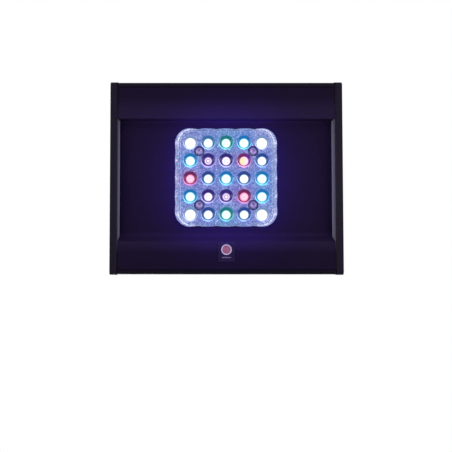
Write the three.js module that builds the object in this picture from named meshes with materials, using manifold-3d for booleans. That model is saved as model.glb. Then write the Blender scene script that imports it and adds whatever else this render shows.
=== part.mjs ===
// An LED aquarium light: a flat black pendant that hangs over a tank and shines down.
//
// Two aluminium extrusions slide together along X and are closed by thick end caps. The upper
// one, the top cover, holds a round vent grille. The lower one, the light panel, has a band along
// each long edge and a sunk middle, where a clear block of 25 lenses fills a square window. Behind
// the window are the circuit board with its emitters, a thermal pad, a finned heat sink and a fan.
//
// Millimetres. +X runs along the extrusions, +Y from front to rear and +Z up. The origin is under
// the middle of the light, on the plane that the end caps' lower edges rest on.
import * as THREE from "three";
import { mergeVertices } from "three/addons/utils/BufferGeometryUtils.js";
import Module from "manifold-3d";

const wasm = await Module();
wasm.setup();

// ---- Overall sizes. The width follows from the lenses, the recess and the bands ----
const LENGTH = 200; // over the end caps, X
const HEIGHT = 34.5; // of the end caps, Z
const BAND = 32.8; // from the recess to the end caps' outer edge, on either side

// ---- Clearances ----
const GAP = 0.3; // between pieces that seat on, or slide in, each other
const TIGHT_GAP = 0.1; // between the thin layers that are clamped together

// ---- Extrusions ----
const WALL = 2; // wall of both extrusions
const EDGE_LOWER = 2.6; // radius of the top cover's lower long edges
const EDGE_UPPER = 1.6; // radius of its upper long edges
const FLANGE = 4.1; // width of the in-turned flange that carries the light panel
const TONGUE = 1.8; // thickness of the light panel's tongue, over that flange
const TONGUE_WIDTH = 3.9; // from its tip to where it leaves the band
const PORT_BLOCK = 7.2; // side of the square block around each screw port
const BAND_SINK = 0.5; // how far the bands lie above the flanges
const RECESS_DEPTH = 8.3; // of the middle panel, above the bands
const RECESS_MARGIN = 7.6; // between the lens block and the foot of either side wall
const REAR_STEP = 0.7; // run of the steep rear side wall
const FRONT_RAMP = 4; // run of the front side wall
const SHOULDER = [8, 0.9]; // run and rise of the low shoulder between that wall and the front band

// ---- End caps ----
const CAP = 6.2; // thickness
const CAP_PROUD = 0.4; // how far they stand out from the extrusions all round
const CAP_CHAMFER = 1.6; // on the inner lower edge
const CAP_RIB = [100, 2, 3]; // locating rib: width, height and how far it reaches in
const CAP_RIB_DROP = 1.4; // of the rib under the cover's top wall
const HANGER_HOLE = { radius: 1.7, depth: 8, fromMiddle: 55 }; // for an M3 hanging eye

// ---- Lenses and emitters ----
const LED_COUNT = 5; // along each side of the square
const LED_PITCH = 15.6;
const LED_BASE = [3.5, 0.8]; // side and thickness of an emitter's ceramic base
const LED_DOME = 1.35; // radius of its dome
const LENS_MARGIN = 11.8; // from the outer emitters' centres to the lens block's long sides
const LENS_EAR = 1.6; // how much further the block reaches towards either end cap
const LENS_CORNER = 13;
const LENS_PROUD = 6.2; // of the middle panel's surface
const LENS_RIM = 3; // how far the block overlaps the window's edge
const DISH = [6.2, 2]; // radius and depth of the round hollow in front of each emitter
const CAVITY_CLEARANCE = 0.8; // around each emitter, in the hollow behind the lens
const GASKET = 0.7; // thickness
const GASKET_WIDTH = 2.2;
const LED_BOARD = 1.6; // thickness
const PAD = 0.3; // thickness of the thermal pad

// ---- Fasteners ----
const SCREW = { head: 2.8, headHeight: 2, shank: 1.5, socket: 1.35, socketDepth: 1.1 }; // M3
const HEAD_CLEARANCE = 0.5; // around a head in its counterbore
const LENS_HEAD_CLEARANCE = 1.6; // around a head in the lens block
const LENS_SCREW = { reach: 3, fromMiddle: 1.5 * LED_PITCH, sink: 1 };
const CAP_SCREW_REACH = 6; // into the extrusion
const FAN_SCREW_COVER = 1.2; // metal left under each fan screw's hole

// ---- Heat sink and fan ----
const SINK = { overlap: 12, margin: 0.6, base: 2.5 }; // past the window, inside the recess, thickness
const FIN = { thickness: 1.5, count: 17, headroom: 3 };
const FAN = { side: 80, depth: 10, rim: 2, holeInset: 4.25, corner: 4, plate: 1.3, strut: 3 };
const FAN_HEADROOM = 0.6; // under the vent grille
const FAN_POCKET = 2; // clearance around the fan in the fins
const ROTOR = { hub: 17, wall: 2, tipGap: 1.5, blades: 7, chord: 9.5, blade: 1, pitch: 35, shaft: 1.5 };
const STATOR = { clearance: 3, height: 6 };

// ---- Vent grille ----
const VENT = { field: 54, rim: 2, flange: 2.5, flangeThickness: 1.2 };
const SLOT = { pitch: 5.2, width: 3.6, bar: 3.2, barAt: 18 };

// ---- Electronics ----
const DRIVER = { width: 15, margin: 2.6, thickness: 1.6, standoff: 1.6, fromSink: 5 };
const POST = { radius: 2.5, inset: 5 };
const COILS = { side: 10, height: 5, at: [-20, -7] };
const CAPACITORS = { radius: 4, height: 8, at: [22, 31] };
const INLET = { radius: 5.5, length: 15, lip: 1.1, lipThickness: 1.4, headroom: 2.2, y: -42 };
const INLET_BORE = { radius: 3.2, depth: 10, pin: 1, pinLength: 3 };
const LEAD_RADIUS = 1.4;
const LEAD_BEND = 8; // how far a lead runs straight on before it turns

// ---- Badge ----
const BADGE = { width: 14, length: 16.4, thickness: 0.8, inset: 0.9 };
const DISC = { radius: 4.95, inset: 6, bevel: 0.4 };

// ---- Levels and places that follow from them ----
const HALF_PI = Math.PI / 2;
const ledSpan = ((LED_COUNT - 1) * LED_PITCH) / 2;
const lensHalf = ledSpan + LENS_MARGIN;
const windowHalf = lensHalf - LENS_RIM;
const windowCorner = LENS_CORNER - LENS_RIM;
const recessHalf = lensHalf + RECESS_MARGIN;
const capHalf = recessHalf + BAND; // half width of the end caps

const bodyHalf = LENGTH / 2 - CAP - GAP; // half length of the extrusions
const coverHalf = capHalf - CAP_PROUD; // half width of the top cover
const coverInner = coverHalf - WALL;
const coverBottom = CAP_PROUD;
const coverTop = HEIGHT - CAP_PROUD;
const ceiling = coverTop - WALL; // underside of the top wall
const flangeTop = coverBottom + WALL;
const flangeInner = coverHalf - FLANGE;
const bandZ = coverBottom + BAND_SINK;
const floorZ = bandZ + RECESS_DEPTH; // surface of the middle panel
const floorTop = floorZ + WALL;
const tongueBottom = flangeTop + GAP;
const tongueTop = tongueBottom + TONGUE;
const portRadius = SCREW.shank + GAP;
const portY = coverInner - PORT_BLOCK / 2;
const lowPortZ = tongueTop + GAP + PORT_BLOCK / 2;
const highPortZ = ceiling - PORT_BLOCK / 2;
const rampFoot = recessHalf + FRONT_RAMP;
const shoulderFoot = rampFoot + SHOULDER[0];

const sinkBottom = floorTop + TIGHT_GAP;
const sinkBaseTop = sinkBottom + SINK.base;
const padBottom = sinkBottom - TIGHT_GAP - PAD;
const boardBottom = padBottom - TIGHT_GAP - LED_BOARD;
const boardHalf = windowHalf - GAP;
const lensFront = floorZ - LENS_PROUD;
const lensRimTop = floorZ - 2 * TIGHT_GAP - GASKET;
const lensTop = boardBottom - GAP; // back of the spigot that fills the window
const lensScrewSeat = lensFront + SCREW.headHeight + LENS_SCREW.sink;
const lensScrewTip = sinkBottom + LENS_SCREW.reach;

const grilleBottom = ceiling - GAP - VENT.flangeThickness;
const fanTop = grilleBottom - FAN_HEADROOM;
const fanBottom = fanTop - FAN.depth;
const fanHoles = FAN.side / 2 - FAN.holeInset;
const fanScrewTip = sinkBottom + FAN_SCREW_COVER + GAP;
const fanOpening = FAN.side / 2 - FAN.rim;
const lowFinTop = fanBottom - GAP;
const finTop = ceiling - FIN.headroom;
const sinkHalfX = windowHalf + SINK.overlap;
const sinkHalfY = recessHalf - SINK.margin;
const finPitch = (2 * sinkHalfY - FIN.thickness) / (FIN.count - 1);

const screwHole = SCREW.shank + GAP;
const headHole = SCREW.head + HEAD_CLEARANCE;
const driverX = sinkHalfX + DRIVER.fromSink + DRIVER.width / 2;
const driverBottom = floorTop + GAP + DRIVER.standoff;
const driverTop = driverBottom + DRIVER.thickness;
const inletZ = ceiling - INLET.headroom - INLET.radius;

// ---- Materials ----
const paint = (color, roughness, metalness) =>
  new THREE.MeshStandardMaterial({ color, roughness, metalness, flatShading: true });
const blackAnodised = paint(0x16161a, 0.45, 0.6);
const capBlack = paint(0x1b1a20, 0.5, 0.5);
const rawAluminium = paint(0xb9bcc0, 0.4, 1);
const clearLens = paint(0xc9d2f0, 0.1, 0);
const boardWhite = paint(0xe6e8ea, 0.5, 0);
const boardGreen = paint(0x1d5a38, 0.5, 0);
const blackPlastic = paint(0x101012, 0.5, 0);
const rubber = paint(0x2a2a2d, 0.9, 0);
const padGrey = paint(0x8e9296, 0.8, 0);
const steel = paint(0x9a9ca2, 0.35, 1);
const copper = paint(0xa4622f, 0.4, 0.8);
const badgeRose = paint(0xb08a9a, 0.3, 0.3);
const glow = {
  white: paint(0xf4fbff, 0.3, 0),
  blue: paint(0x4fb4ff, 0.3, 0),
  royal: paint(0x8fb8ff, 0.3, 0),
  violet: paint(0xb9a6ff, 0.3, 0),
  green: paint(0x35e0a0, 0.3, 0),
  red: paint(0xff6f8c, 0.3, 0),
  amber: paint(0xffc27a, 0.3, 0),
};

// ---- Solids ----
// A closed three.js geometry as a manifold-3d solid.
function solid(geometry) {
  const bare = new THREE.BufferGeometry();
  bare.setAttribute("position", geometry.getAttribute("position"));
  bare.setIndex(geometry.index);
  const merged = mergeVertices(bare, 1e-4);
  const corners = merged.index.array;
  const kept = [];
  for (let i = 0; i < corners.length; i += 3) {
    const [a, b, c] = corners.slice(i, i + 3);
    if (a !== b && b !== c && c !== a) kept.push(a, b, c);
  }
  const vertProperties = merged.getAttribute("position").array;
  return new wasm.Manifold(new wasm.Mesh({ numProp: 3, vertProperties, triVerts: new Uint32Array(kept) }));
}

// A solid as a three.js geometry.
function geometryOf(body) {
  const mesh = body.getMesh();
  const geometry = new THREE.BufferGeometry();
  geometry.setAttribute("position", new THREE.BufferAttribute(mesh.vertProperties, 3));
  geometry.setIndex(new THREE.BufferAttribute(mesh.triVerts, 1));
  return geometry;
}

const unite = (first, ...others) => others.reduce((a, b) => a.add(b), first);
const cut = (first, ...others) => others.reduce((a, b) => a.subtract(b), first);

// A box between two corners.
function boxBetween([x0, y0, z0], [x1, y1, z1]) {
  const geometry = new THREE.BoxGeometry(x1 - x0, y1 - y0, z1 - z0);
  return solid(geometry.translate((x0 + x1) / 2, (y0 + y1) / 2, (z0 + z1) / 2));
}

// A round bar along Z, from z0 to z1.
function barZ(radius, z0, z1, x = 0, y = 0, sides = 12) {
  const geometry = new THREE.CylinderGeometry(radius, radius, z1 - z0, sides);
  return solid(geometry.rotateX(HALF_PI).translate(x, y, (z0 + z1) / 2));
}

// A round bar along X, from x0 to x1.
function barX(radius, x0, x1, y = 0, z = 0, sides = 12) {
  const geometry = new THREE.CylinderGeometry(radius, radius, x1 - x0, sides);
  return solid(geometry.rotateZ(HALF_PI).translate((x0 + x1) / 2, y, z));
}

// Points along an arc, both ends included, with angles in quarter turns.
function arc(cx, cy, radius, from, to, steps = 4) {
  const points = [];
  for (let i = 0; i <= steps; i += 1) {
    const angle = (from + ((to - from) * i) / steps) * HALF_PI;
    points.push(new THREE.Vector2(cx + radius * Math.cos(angle), cy + radius * Math.sin(angle)));
  }
  return points;
}

const point = (x, y) => new THREE.Vector2(x, y);

// A rectangle with round corners, centred on (cx, cy), as a list of points.
function roundedRectangle(halfX, halfY, radius, cx = 0, cy = 0, steps = 4) {
  const x = halfX - radius;
  const y = halfY - radius;
  return [
    ...arc(cx + x, cy + y, radius, 0, 1, steps),
    ...arc(cx - x, cy + y, radius, 1, 2, steps),
    ...arc(cx - x, cy - y, radius, 2, 3, steps),
    ...arc(cx + x, cy - y, radius, 3, 4, steps),
  ];
}

// An outline in X and Y, extruded from z0 to z1.
function plate(outline, z0, z1, holes = []) {
  const shape = new THREE.Shape(outline);
  shape.holes = holes.map((hole) => new THREE.Path(hole));
  const geometry = new THREE.ExtrudeGeometry(shape, { depth: z1 - z0, bevelEnabled: false });
  return solid(geometry.translate(0, 0, z0));
}

// An outline in Y and Z, extruded along X from x0 to x1.
function profile(outline, x0, x1, holes = []) {
  const alongX = new THREE.Matrix4().makeBasis(
    new THREE.Vector3(0, 1, 0),
    new THREE.Vector3(0, 0, 1),
    new THREE.Vector3(1, 0, 0),
  );
  const shape = new THREE.Shape(outline);
  shape.holes = holes.map((hole) => new THREE.Path(hole));
  const geometry = new THREE.ExtrudeGeometry(shape, { depth: x1 - x0, bevelEnabled: false });
  return solid(geometry.applyMatrix4(alongX).translate(x0, 0, 0));
}

// A solid of revolution about Z from [radius, z] pairs that run anticlockwise and end on the axis.
function turned(pairs, sides) {
  const points = pairs.map(([r, z]) => point(r, z));
  return solid(new THREE.LatheGeometry(points, sides).rotateX(HALF_PI));
}

const model = new THREE.Group();

// Adds a named mesh to a group, in place or moved to a position.
function addMesh(group, name, shape, material, position = [0, 0, 0], rotation = [0, 0, 0]) {
  const mesh = new THREE.Mesh(shape.isBufferGeometry ? shape : geometryOf(shape), material);
  mesh.name = name;
  mesh.position.set(...position);
  mesh.rotation.set(...rotation);
  group.add(mesh);
}

// ---- Shells ----
function topCover() {
  const block = PORT_BLOCK;
  // Rear half of the inside, from the flange's tip up to the middle of the top wall.
  const inside = [
    [flangeInner, coverBottom],
    [flangeInner, flangeTop],
    [coverInner, flangeTop],
    [coverInner, lowPortZ - block / 2],
    [coverInner - block, lowPortZ - block / 2],
    [coverInner - block, lowPortZ + block / 2],
    [coverInner, lowPortZ + block / 2],
    [coverInner, highPortZ - block / 2],
    [coverInner - block, highPortZ - block / 2],
    [coverInner - block, ceiling],
  ];
  const outline = [
    ...inside.map(([y, z]) => point(-y, z)).reverse(),
    ...arc(-coverHalf + EDGE_LOWER, coverBottom + EDGE_LOWER, EDGE_LOWER, 3, 2),
    ...arc(-coverHalf + EDGE_UPPER, coverTop - EDGE_UPPER, EDGE_UPPER, 2, 1),
    ...arc(coverHalf - EDGE_UPPER, coverTop - EDGE_UPPER, EDGE_UPPER, 1, 0),
    ...arc(coverHalf - EDGE_LOWER, coverBottom + EDGE_LOWER, EDGE_LOWER, 0, -1),
    ...inside.map(([y, z]) => point(y, z)),
  ];
  const ports = [-portY, portY].flatMap((y) =>
    [lowPortZ, highPortZ].map((z) => arc(y, z, portRadius, 0, 4, 12).slice(1)),
  );
  const ventHole = barZ(VENT.field + VENT.rim + GAP, ceiling - WALL, coverTop + WALL, 0, 0, 64);
  return cut(profile(outline, -bodyHalf, bodyHalf, ports), ventHole);
}

function lightPanel() {
  const tip = coverInner - GAP;
  const edge = flangeInner - GAP;
  const root = tip - TONGUE_WIDTH;
  const shoulderZ = bandZ + SHOULDER[1];
  const outline = [
    point(-edge, bandZ),
    point(-shoulderFoot, bandZ),
    point(-rampFoot, shoulderZ),
    point(-recessHalf, floorZ),
    point(recessHalf, floorZ),
    point(recessHalf + REAR_STEP, bandZ),
    point(edge, bandZ),
    point(edge, tongueBottom),
    point(tip, tongueBottom),
    point(tip, tongueTop),
    point(root, tongueTop),
    point(root, bandZ + WALL),
    point(recessHalf + REAR_STEP + WALL, bandZ + WALL),
    point(recessHalf + WALL, floorTop),
    point(-recessHalf - WALL / 2, floorTop),
    point(-rampFoot - WALL / 2, shoulderZ + WALL),
    point(-shoulderFoot - WALL / 2, bandZ + WALL),
    point(-root, bandZ + WALL),
    point(-root, tongueTop),
    point(-tip, tongueTop),
    point(-tip, tongueBottom),
    point(-edge, tongueBottom),
  ];
  const window = roundedRectangle(windowHalf, windowHalf, windowCorner);
  const badge = badgeBox(GAP, bandZ + BADGE.thickness);
  return cut(profile(outline, -bodyHalf, bodyHalf), plate(window, floorZ - WALL, floorTop + WALL), badge);
}

// The blocks that both end caps share, drawn for the cap at +X.
function endCap(hasInlet) {
  const inner = LENGTH / 2 - CAP;
  const outer = LENGTH / 2;
  const lower = EDGE_LOWER + CAP_PROUD;
  const upper = EDGE_UPPER + CAP_PROUD;
  const outline = [
    ...arc(capHalf - upper, HEIGHT - upper, upper, 0, 1),
    ...arc(-capHalf + upper, HEIGHT - upper, upper, 1, 2),
    ...arc(-capHalf + lower, lower, lower, 2, 3),
    ...arc(capHalf - lower, lower, lower, 3, 4),
  ];
  const [ribWidth, ribHeight, ribReach] = CAP_RIB;
  const ribTop = ceiling - CAP_RIB_DROP;
  const ribFrom = [inner - ribReach, -ribWidth / 2, ribTop - ribHeight];
  const rib = boxBetween(ribFrom, [inner + 1, ribWidth / 2, ribTop]);
  const chamferSide = 2 * CAP_CHAMFER * Math.SQRT1_2;
  const chamfer = new THREE.BoxGeometry(chamferSide, 2 * capHalf + 1, chamferSide).rotateY(Math.PI / 4);
  const cuts = [solid(chamfer.translate(inner, 0, 0))];
  for (const y of [-portY, portY]) {
    for (const z of [lowPortZ, highPortZ]) {
      cuts.push(barX(screwHole, inner - 1, outer, y, z));
      cuts.push(barX(headHole, outer - SCREW.headHeight - GAP, outer + 1, y, z));
    }
  }
  for (const y of [-HANGER_HOLE.fromMiddle, HANGER_HOLE.fromMiddle]) {
    cuts.push(barZ(HANGER_HOLE.radius, HEIGHT - HANGER_HOLE.depth, HEIGHT + 1, outer - CAP / 2, y));
  }
  if (hasInlet) {
    cuts.push(barX(INLET.radius + GAP, inner - ribReach - 1, outer, INLET.y, inletZ, 16));
    const lipSeat = outer - INLET.lipThickness - GAP;
    cuts.push(barX(INLET.radius + INLET.lip + GAP, lipSeat, outer + 1, INLET.y, inletZ, 16));
  }
  return cut(unite(profile(outline, inner, outer), rib), ...cuts);
}

// A disc with three rows of slots and a hidden flange that seats under the cover's top wall.
function ventGrille() {
  const rim = VENT.field + VENT.rim;
  const disc = barZ(rim, grilleBottom, coverTop, 0, 0, 64);
  const flange = barZ(rim + VENT.flange, grilleBottom, ceiling - GAP, 0, 0, 64);
  const well = barZ(VENT.field, grilleBottom - 1, ceiling - GAP, 0, 0, 48);
  const half = SLOT.width / 2;
  const inner = SLOT.barAt - SLOT.bar / 2;
  const outer = SLOT.barAt + SLOT.bar / 2;
  const columns = Math.floor((VENT.field - half) / SLOT.pitch);
  const slots = [];
  for (let i = -columns; i <= columns; i += 1) {
    const x = i * SLOT.pitch;
    const end = Math.sqrt(VENT.field ** 2 - (Math.abs(x) + half) ** 2);
    const middle = Math.min(end, inner);
    const spans = [[-middle, middle]];
    if (end > outer + SLOT.width) spans.push([-end, -outer], [outer, end]);
    for (const [y0, y1] of spans) {
      slots.push([...arc(x, y1 - half, half, 0, 2, 3), ...arc(x, y0 + half, half, 2, 4, 3)]);
    }
  }
  const cutters = slots.map((outline) => plate(outline, grilleBottom - 1, coverTop + 1));
  return cut(unite(disc, flange), well, ...cutters);
}

// ---- Light engine ----
function ledPlaces() {
  const places = [];
  for (let row = 1; row <= LED_COUNT; row += 1) {
    for (let column = 1; column <= LED_COUNT; column += 1) {
      const x = ledSpan - (column - 1) * LED_PITCH;
      const y = ledSpan - (row - 1) * LED_PITCH;
      places.push({ row, column, x, y });
    }
  }
  return places;
}

const fourCorners = (from) => [[-from, -from], [from, -from], [from, from], [-from, from]];

function lensArray() {
  const rim = roundedRectangle(lensHalf + LENS_EAR, lensHalf, LENS_CORNER);
  const block = plate(rim, lensFront, lensRimTop);
  const inWindow = windowHalf - GAP;
  const spigot = plate(roundedRectangle(inWindow, inWindow, windowCorner - GAP), lensFront + 1, lensTop);
  const cavityRadius = LED_BASE[0] * Math.SQRT1_2 + CAVITY_CLEARANCE;
  const cavityBottom = boardBottom - LED_BASE[1] - LED_DOME - CAVITY_CLEARANCE;
  const cuts = [];
  for (const { x, y } of ledPlaces()) {
    cuts.push(barZ(DISH[0], lensFront - 1, lensFront + DISH[1], x, y, 16));
    cuts.push(barZ(cavityRadius, cavityBottom, lensTop + 1, x, y, 10));
  }
  for (const [x, y] of fourCorners(LENS_SCREW.fromMiddle)) {
    cuts.push(barZ(SCREW.head + LENS_HEAD_CLEARANCE, lensFront - 1, lensScrewSeat, x, y, 14));
    cuts.push(barZ(screwHole, lensFront, lensTop + 1, x, y, 10));
  }
  return cut(unite(block, spigot), ...cuts);
}

function lensGasket() {
  const inner = windowHalf + GAP;
  const outer = inner + GASKET_WIDTH;
  const corner = windowCorner + GAP;
  const ring = roundedRectangle(outer, outer, corner + GASKET_WIDTH);
  const hole = roundedRectangle(inner, inner, corner);
  return plate(ring, lensRimTop + TIGHT_GAP, floorZ - TIGHT_GAP, [hole]);
}

// A square sheet behind the window, with a hole for each lens screw.
function windowSheet(z0, z1) {
  const holes = fourCorners(LENS_SCREW.fromMiddle).map(([x, y]) => arc(x, y, screwHole, 0, 4, 10).slice(1));
  return plate(roundedRectangle(boardHalf, boardHalf, windowCorner), z0, z1, holes);
}

// An emitter whose back is at z = 0 and which shines down.
function emitter() {
  const [side, thickness] = LED_BASE;
  const base = boxBetween([-side / 2, -side / 2, -thickness], [side / 2, side / 2, 0]);
  const sphere = new THREE.SphereGeometry(LED_DOME, 10, 6).rotateX(HALF_PI);
  const ball = solid(sphere.translate(0, 0, -thickness));
  const dome = cut(ball, boxBetween([-side, -side, -thickness / 2], [side, side, side]));
  return unite(base, dome);
}

function heatSink() {
  const comb = [point(-sinkHalfY, sinkBottom), point(sinkHalfY, sinkBottom)];
  for (let i = FIN.count - 1; i >= 0; i -= 1) {
    const y = -sinkHalfY + i * finPitch;
    comb.push(point(y + FIN.thickness, i === FIN.count - 1 ? finTop : sinkBaseTop));
    if (i < FIN.count - 1) comb.push(point(y + FIN.thickness, finTop));
    comb.push(point(y, finTop));
    if (i > 0) comb.push(point(y, sinkBaseTop));
  }
  const pocket = FAN.side / 2 + FAN_POCKET;
  const posts = fourCorners(fanHoles).map(([x, y]) =>
    barZ(FAN.corner, sinkBottom + SINK.base / 2, lowFinTop, x, y),
  );
  const sink = unite(
    cut(
      profile(comb, -sinkHalfX, sinkHalfX),
      boxBetween([-pocket, -pocket, lowFinTop], [pocket, pocket, finTop + 1]),
    ),
    ...posts,
  );
  const lensHoles = fourCorners(LENS_SCREW.fromMiddle).map(([x, y]) =>
    barZ(screwHole, sinkBottom - 1, lensScrewTip + GAP, x, y, 10),
  );
  const fanScrewHoles = fourCorners(fanHoles).map(([x, y]) =>
    barZ(screwHole, fanScrewTip - GAP, lowFinTop + 1, x, y, 10),
  );
  return cut(sink, ...lensHoles, ...fanScrewHoles);
}

// ---- Fan ----
function fanFrame() {
  const half = FAN.side / 2;
  const outer = plate(roundedRectangle(half, half, FAN.corner), fanBottom, fanTop);
  const plateTop = fanBottom + FAN.plate;
  const opening = barZ(fanOpening, fanBottom - 1, fanTop + 1, 0, 0, 40);
  const hubPlate = barZ(ROTOR.hub, fanBottom, plateTop, 0, 0, 20);
  const reach = fanOpening + 1;
  const struts = [
    boxBetween([-reach, -FAN.strut / 2, fanBottom], [reach, FAN.strut / 2, plateTop]),
    boxBetween([-FAN.strut / 2, -reach, fanBottom], [FAN.strut / 2, reach, plateTop]),
  ];
  const holes = fourCorners(fanHoles).flatMap(([x, y]) => [
    barZ(screwHole, fanBottom - 1, fanTop, x, y, 10),
    barZ(headHole, fanTop - SCREW.headHeight - GAP, fanTop + 1, x, y),
  ]);
  return cut(unite(cut(outer, opening), hubPlate, ...struts), ...holes);
}

const statorBottom = fanBottom + FAN.plate + TIGHT_GAP;
const hubTop = fanTop - GAP;
const hubCeiling = hubTop - ROTOR.wall;

function fanStator() {
  const height = Math.min(STATOR.height, hubCeiling - GAP - statorBottom);
  const radius = ROTOR.hub - ROTOR.wall - STATOR.clearance;
  const body = barZ(radius, statorBottom, statorBottom + height, 0, 0, 16);
  return cut(body, barZ(ROTOR.shaft + TIGHT_GAP, statorBottom - 1, fanTop, 0, 0, 20));
}

// A cup-shaped hub with its shaft, and pitched blades around it.
function fanRotor() {
  const rimBottom = statorBottom + GAP;
  const hub = turned(
    [
      [0, rimBottom],
      [ROTOR.shaft, rimBottom],
      [ROTOR.shaft, hubCeiling],
      [ROTOR.hub - ROTOR.wall, hubCeiling],
      [ROTOR.hub - ROTOR.wall, rimBottom],
      [ROTOR.hub, rimBottom],
      [ROTOR.hub, hubTop],
      [0, hubTop],
    ],
    20,
  );
  const root = ROTOR.hub - ROTOR.wall / 2;
  const tip = fanOpening - ROTOR.tipGap;
  const blades = [];
  for (let i = 0; i < ROTOR.blades; i += 1) {
    const blade = new THREE.BoxGeometry(tip - root, ROTOR.chord, ROTOR.blade);
    blade.rotateX(THREE.MathUtils.degToRad(ROTOR.pitch));
    blade.translate((tip + root) / 2, 0, (rimBottom + hubTop) / 2);
    blades.push(solid(blade.rotateZ((i * 2 * Math.PI) / ROTOR.blades)));
  }
  return unite(hub, ...blades);
}

// ---- Electronics ----
function driverBoard() {
  const halfX = DRIVER.width / 2;
  const halfY = recessHalf - DRIVER.margin;
  const board = boxBetween([-halfX, -halfY, driverBottom], [halfX, halfY, driverTop]);
  const root = driverTop - DRIVER.thickness / 2;
  const posts = [POST.inset - halfY, halfY - POST.inset].map((y) =>
    barZ(POST.radius, floorTop + GAP, driverBottom + DRIVER.thickness / 2, 0, y, 8),
  );
  const half = COILS.side / 2;
  const coils = COILS.at.map((y) =>
    boxBetween([-half, y - half, root], [half, y + half, driverTop + COILS.height]),
  );
  const capacitors = CAPACITORS.at.map((y) =>
    barZ(CAPACITORS.radius, root, driverTop + CAPACITORS.height, 0, y, 12),
  );
  return unite(board, ...posts, ...coils, ...capacitors);
}

// A round power inlet along X whose mouth is flush with the end cap, with a short pin at the back.
function dcInlet() {
  const mouth = LENGTH / 2;
  const back = mouth - INLET_BORE.depth;
  const shape = unite(
    barX(INLET.radius, mouth - INLET.length, mouth, 0, 0, 16),
    barX(INLET.radius + INLET.lip, mouth - INLET.lipThickness, mouth, 0, 0, 16),
  );
  const hollow = cut(shape, barX(INLET_BORE.radius, back, mouth + 1, 0, 0, 12));
  return unite(hollow, barX(INLET_BORE.pin, back - 1, back + INLET_BORE.pinLength, 0, 0, 8));
}

// A round lead that leaves its start along -X or +X and comes down onto the driver board.
function lead(start, direction, [endX, endY]) {
  const end = new THREE.Vector3(endX, endY, driverTop + GAP);
  const route = new THREE.CubicBezierCurve3(
    start,
    start.clone().add(new THREE.Vector3(direction * LEAD_BEND, 0, 0)),
    end.clone().add(new THREE.Vector3(0, 0, LEAD_BEND)),
    end,
  );
  const section = new THREE.Shape(arc(0, 0, LEAD_RADIUS, 0, 4, 8).slice(1));
  return solid(new THREE.ExtrudeGeometry(section, { steps: 8, extrudePath: route }));
}

function inletLead() {
  const start = new THREE.Vector3(LENGTH / 2 - INLET.length - GAP, INLET.y, inletZ);
  return lead(start, -1, [driverX, INLET.y + 8]);
}

// The fan's lead leaves between two fins.
function fanLead() {
  const y = (finPitch + FIN.thickness) / 2;
  const start = new THREE.Vector3(FAN.side / 2 + GAP, y, fanBottom + FAN.depth / 2);
  return lead(start, 1, [driverX - DRIVER.width / 2 + 2 * LEAD_RADIUS, y]);
}

// ---- Badge ----
const badgeEnd = -rampFoot - BADGE.inset; // rear end of the plate
function badgeBox(clearance, top) {
  const halfX = BADGE.width / 2 + clearance;
  const from = [-halfX, badgeEnd - BADGE.length - clearance, coverBottom - 1];
  return boxBetween(from, [halfX, badgeEnd + clearance, top + clearance]);
}

function badgePlate() {
  const top = bandZ + BADGE.thickness;
  const face = bandZ - GAP;
  const slab = boxBetween([-BADGE.width, -capHalf, face], [BADGE.width, 0, top]);
  const seat = barZ(DISC.radius + GAP, face - 1, top + 1, 0, badgeEnd - DISC.inset, 24);
  return cut(badgeBox(0, top).intersect(slab), seat);
}

function badgeDisc() {
  const top = bandZ + BADGE.thickness;
  const face = bandZ - GAP - TIGHT_GAP;
  const { radius, bevel } = DISC;
  return turned([[0, face], [radius - bevel, face], [radius, face + bevel], [radius, top], [0, top]], 24);
}

// ---- Fasteners ----
// A screw with its seat at z = 0, head below and shank above, so that it drives upwards.
function screw(length) {
  const { head, headHeight, shank, socket: hex, socketDepth } = SCREW;
  const body = unite(barZ(head, -headHeight, 0), barZ(shank, -0.5, length, 0, 0, 8));
  return geometryOf(cut(body, barZ(hex, -headHeight - 1, -headHeight + socketDepth, 0, 0, 6)));
}

function addScrews() {
  const lens = screw(lensScrewTip - lensScrewSeat);
  fourCorners(LENS_SCREW.fromMiddle).forEach(([x, y], i) => {
    addMesh(model, `lens_screw_${i + 1}`, lens, steel, [x, y, lensScrewSeat - GAP]);
  });
  const fanSeat = fanTop - SCREW.headHeight;
  const fan = screw(fanSeat - fanScrewTip);
  fourCorners(fanHoles).forEach(([x, y], i) => {
    addMesh(model, `fan_screw_${i + 1}`, fan, steel, [x, y, fanSeat], [Math.PI, 0, 0]);
  });
  const capLength = CAP - SCREW.headHeight + GAP + CAP_SCREW_REACH;
  const cap = screw(capLength);
  const seatX = LENGTH / 2 - SCREW.headHeight;
  for (const [side, sign] of [["left", -1], ["right", 1]]) {
    let number = 0;
    for (const y of [-portY, portY]) {
      for (const z of [lowPortZ, highPortZ]) {
        number += 1;
        const name = `cap_screw_${side}_${number}`;
        addMesh(model, name, cap, steel, [sign * seatX, y, z], [0, -sign * HALF_PI, 0]);
      }
    }
  }
}

// ---- Colours of the emitters, in rows from the rear and columns from +X ----
const LED_COLOURS = [
  ["white", "blue", "green", "blue", "white"],
  ["blue", "violet", "violet", "amber", "royal"],
  ["red", "royal", "blue", "royal", "blue"],
  ["blue", "violet", "violet", "red", "blue"],
  ["white", "royal", "green", "royal", "white"],
];

// ---- Assembly ----
addMesh(model, "top_cover", topCover(), blackAnodised);
addMesh(model, "light_panel", lightPanel(), blackAnodised);
addMesh(model, "vent_grille", ventGrille(), blackAnodised);

addMesh(model, "end_cap_right", endCap(true), capBlack);
const mirrored = new THREE.Group();
mirrored.rotation.z = Math.PI;
addMesh(mirrored, "end_cap_left", endCap(false), capBlack);
model.add(mirrored);

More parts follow.
